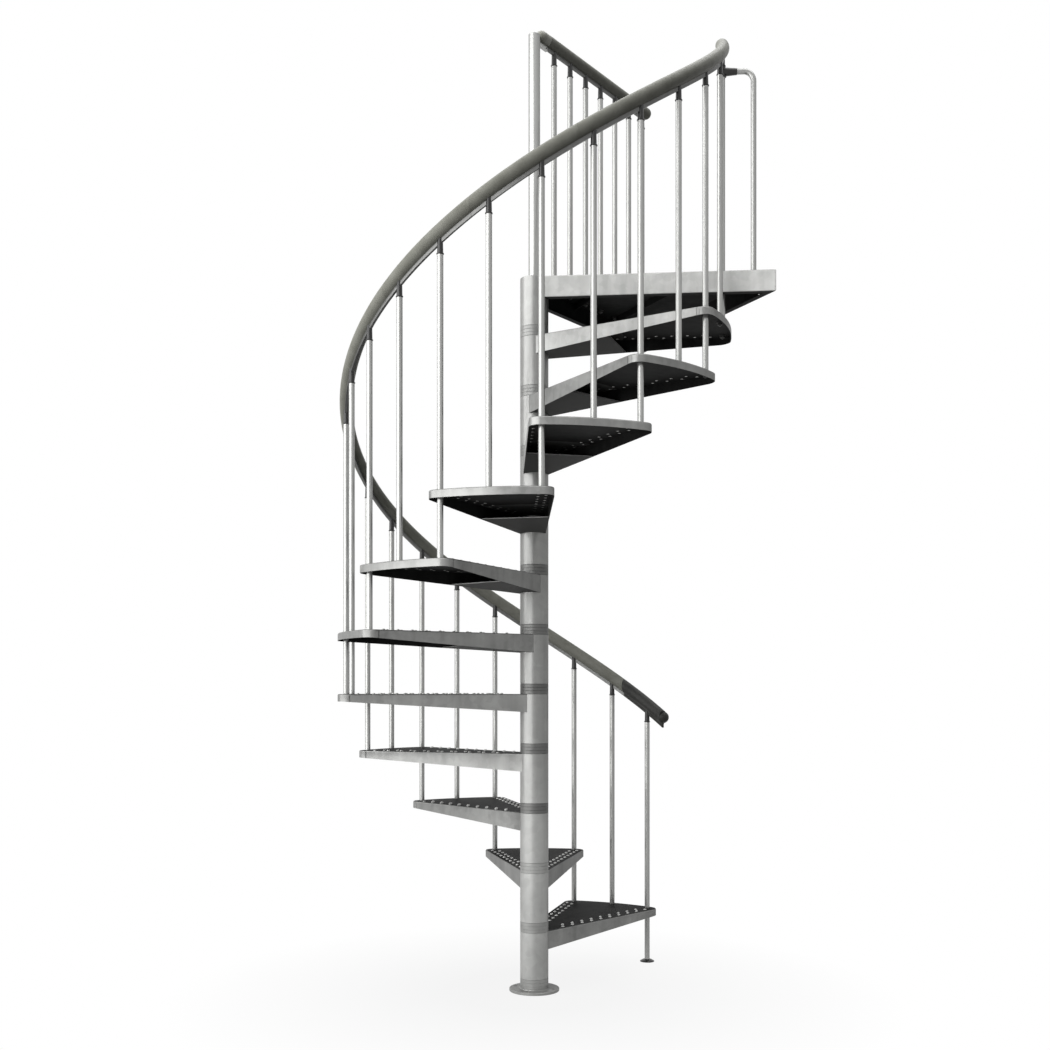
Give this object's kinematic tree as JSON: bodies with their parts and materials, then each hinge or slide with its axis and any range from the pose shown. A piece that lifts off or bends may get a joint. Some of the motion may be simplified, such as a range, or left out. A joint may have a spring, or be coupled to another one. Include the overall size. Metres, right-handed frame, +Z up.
{
  "type": "spiral staircase",
  "caption": "Galvanised steel spiral staircase with folded tray treads stacked on a centre pole, upright balusters, a round handrail and a corner landing with its own rail.",
  "frame": {"origin": "centre of the base flange's underside, on the axis of the pole", "axes": "+Z up, +X straight out through the middle of the landing, the stair climbs anticlockwise seen from above"},
  "size_m": [1.4209, 1.4, 3.468],
  "materials": {
    "galvanised_sheet": "hot-dip galvanised, weathered mid grey",
    "galvanised_pole": "hot-dip galvanised, satin",
    "galvanised_tube": "galvanised tube, smooth satin",
    "handrail_grey": "olive grey, satin",
    "dark_fitting": "dark grey, matt"
  },
  "bodies": {
    "root": {"baluster_foot": "dark_fitting", "base_flange": "galvanised_pole", "closing_sleeve": "dark_fitting", "closing_tube": "galvanised_tube", "first_baluster": "galvanised_tube", "handrail_end_caps": "handrail_grey", "handrail_lengths_a": "handrail_grey", "handrail_lengths_b": "handrail_grey", "joining_balusters": "galvanised_tube", "landing": "galvanised_sheet", "landing_balusters": "galvanised_tube", "landing_fittings": "dark_fitting", "landing_post": "galvanised_tube", "landing_rail": "handrail_grey", "middle_balusters": "galvanised_tube", "pole_hubs": "galvanised_pole", "rail_bracket": "galvanised_pole", "spacer_rings": "galvanised_pole", "stair_fittings": "dark_fitting", "tread_01": "galvanised_sheet", "tread_02": "galvanised_sheet", "tread_03": "galvanised_sheet", "tread_04": "galvanised_sheet", "tread_05": "galvanised_sheet", "tread_06": "galvanised_sheet", "tread_07": "galvanised_sheet", "tread_08": "galvanised_sheet", "tread_09": "galvanised_sheet", "tread_10": "galvanised_sheet", "tread_11": "galvanised_sheet"}
  },
  "joints": []
}
